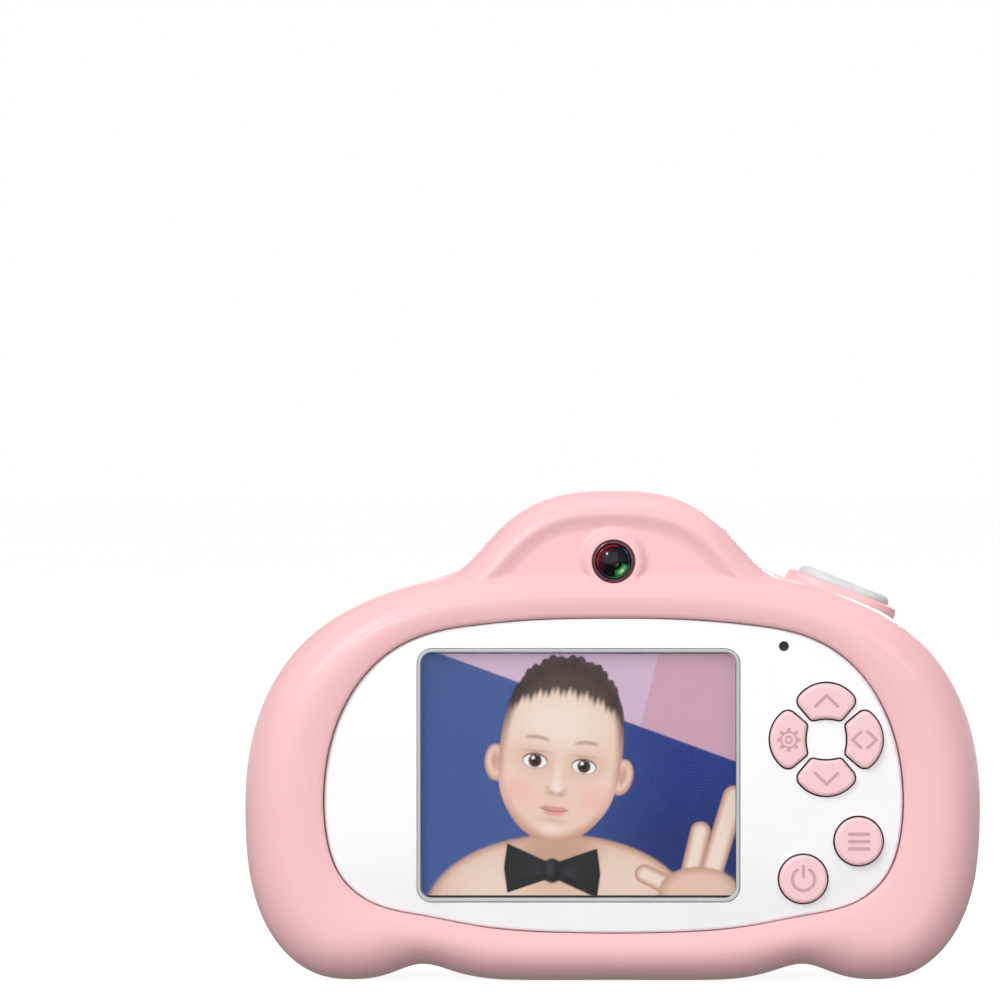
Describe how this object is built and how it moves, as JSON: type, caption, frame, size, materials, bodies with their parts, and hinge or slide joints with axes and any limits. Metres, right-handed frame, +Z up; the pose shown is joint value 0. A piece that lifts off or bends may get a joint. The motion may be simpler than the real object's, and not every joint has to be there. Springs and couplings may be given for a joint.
{
  "type": "kids digital camera",
  "caption": "Toy digital camera with a lens dome, drooping side lobes, a hump with a flash and a small rear lens, a colour display and soft keys.",
  "frame": {"origin": "centre of the footprint at the height of the surface that the camera stands on", "axes": "+Z up, the lens looks along -Y and the display faces +Y, +X to the right seen from the lens side"},
  "size_m": [0.096, 0.038, 0.064],
  "materials": {
    "shell_pink": "glossy",
    "panel_white": "glossy",
    "key_pink": "satin",
    "button_white": "glossy",
    "ring_grey": "satin",
    "bezel_black": "glossy",
    "black_plastic": "matte",
    "white_plastic": "matte",
    "lens_glass": "clear",
    "clear_window": "clear",
    "display_glass": "clear",
    "display_face": "glossy",
    "circuit_green": "satin",
    "chip_black": "matte",
    "silicon": "mirror-like",
    "steel": "brushed",
    "chrome": "polished",
    "silver_reflector": "polished",
    "led_yellow": "satin",
    "flex_amber": "satin",
    "battery_silver": "satin",
    "foam": "matte",
    "mesh_cloth": "woven",
    "wire": "matte",
    "silicone_pink": "matte",
    "silicone_black": "matte"
  },
  "bodies": {
    "casing": {"front_shell": "shell_pink", "rear_shell": "shell_pink", "rear_panel": "panel_white", "display_window": "display_glass", "lens_trim_ring": "ring_grey", "lens_inner_bezel": "shell_pink", "lens_bezel": "bezel_black", "lens_cover_glass": "lens_glass", "camera_lens_holder": "black_plastic", "camera_lens_barrel": "black_plastic", "camera_sensor": "silicon", "camera_board": "circuit_green", "camera_screws": "steel", "camera_flex": "flex_amber", "flash_window": "clear_window", "flash_reflector": "silver_reflector", "flash_led": "led_yellow", "flash_board": "circuit_green", "flash_leads": "wire", "display_gasket": "foam", "display_module": "display_face", "display_flex": "flex_amber", "indicator_lens": "black_plastic", "indicator_led": "led_yellow", "selfie_bezel": "bezel_black", "selfie_glass": "lens_glass", "selfie_camera": "black_plastic", "selfie_flex": "flex_amber", "key_switches": "black_plastic", "shutter_switch": "black_plastic", "shutter_board": "circuit_green", "shutter_leads": "wire", "usb_socket": "chrome", "card_socket": "steel", "main_board": "circuit_green", "board_screws": "steel", "shell_screws": "steel", "processor_chip": "chip_black", "memory_chip": "chip_black", "board_components": "white_plastic", "battery": "battery_silver", "battery_pad": "foam", "battery_plug": "white_plastic", "battery_leads": "wire", "speaker": "black_plastic", "speaker_mesh": "mesh_cloth", "speaker_leads": "wire", "microphone_boot": "silicone_black", "microphone": "steel", "microphone_leads": "wire"},
    "up_key": {"up_key": "key_pink"},
    "down_key": {"down_key": "key_pink"},
    "settings_key": {"settings_key": "key_pink"},
    "flip_key": {"flip_key": "key_pink"},
    "menu_key": {"menu_key": "key_pink"},
    "power_key": {"power_key": "key_pink"},
    "shutter_button": {"shutter_button": "button_white"},
    "port_cover": {"port_cover": "silicone_pink"},
    "memory_card": {"memory_card": "black_plastic"}
  },
  "joints": [
    {"name": "up_key_press", "type": "slide", "parent": "casing", "child": "up_key", "axis": [0, -1, 0], "range_m": [0, 0.0005], "stiffness_N_per_m": 800},
    {"name": "down_key_press", "type": "slide", "parent": "casing", "child": "down_key", "axis": [0, -1, 0], "range_m": [0, 0.0005], "stiffness_N_per_m": 800},
    {"name": "settings_key_press", "type": "slide", "parent": "casing", "child": "settings_key", "axis": [0, -1, 0], "range_m": [0, 0.0005], "stiffness_N_per_m": 800},
    {"name": "flip_key_press", "type": "slide", "parent": "casing", "child": "flip_key", "axis": [0, -1, 0], "range_m": [0, 0.0005], "stiffness_N_per_m": 800},
    {"name": "menu_key_press", "type": "slide", "parent": "casing", "child": "menu_key", "axis": [0, -1, 0], "range_m": [0, 0.0005], "stiffness_N_per_m": 800},
    {"name": "power_key_press", "type": "slide", "parent": "casing", "child": "power_key", "axis": [0, -1, 0], "range_m": [0, 0.0005], "stiffness_N_per_m": 800},
    {"name": "shutter_press", "type": "slide", "parent": "casing", "child": "shutter_button", "axis": [0.36, 0, -0.933], "range_m": [0, 0.0008], "stiffness_N_per_m": 800},
    {"name": "port_cover_hinge", "type": "hinge", "parent": "casing", "child": "port_cover", "pos_m": [0, 0.0056, 0.0003], "axis": [-1, 0, 0], "range_deg": [0, 100]},
    {"name": "memory_card_slide", "type": "slide", "parent": "casing", "child": "memory_card", "axis": [0, 0, -1], "range_m": [-0.00025, 0.0006]}
  ]
}
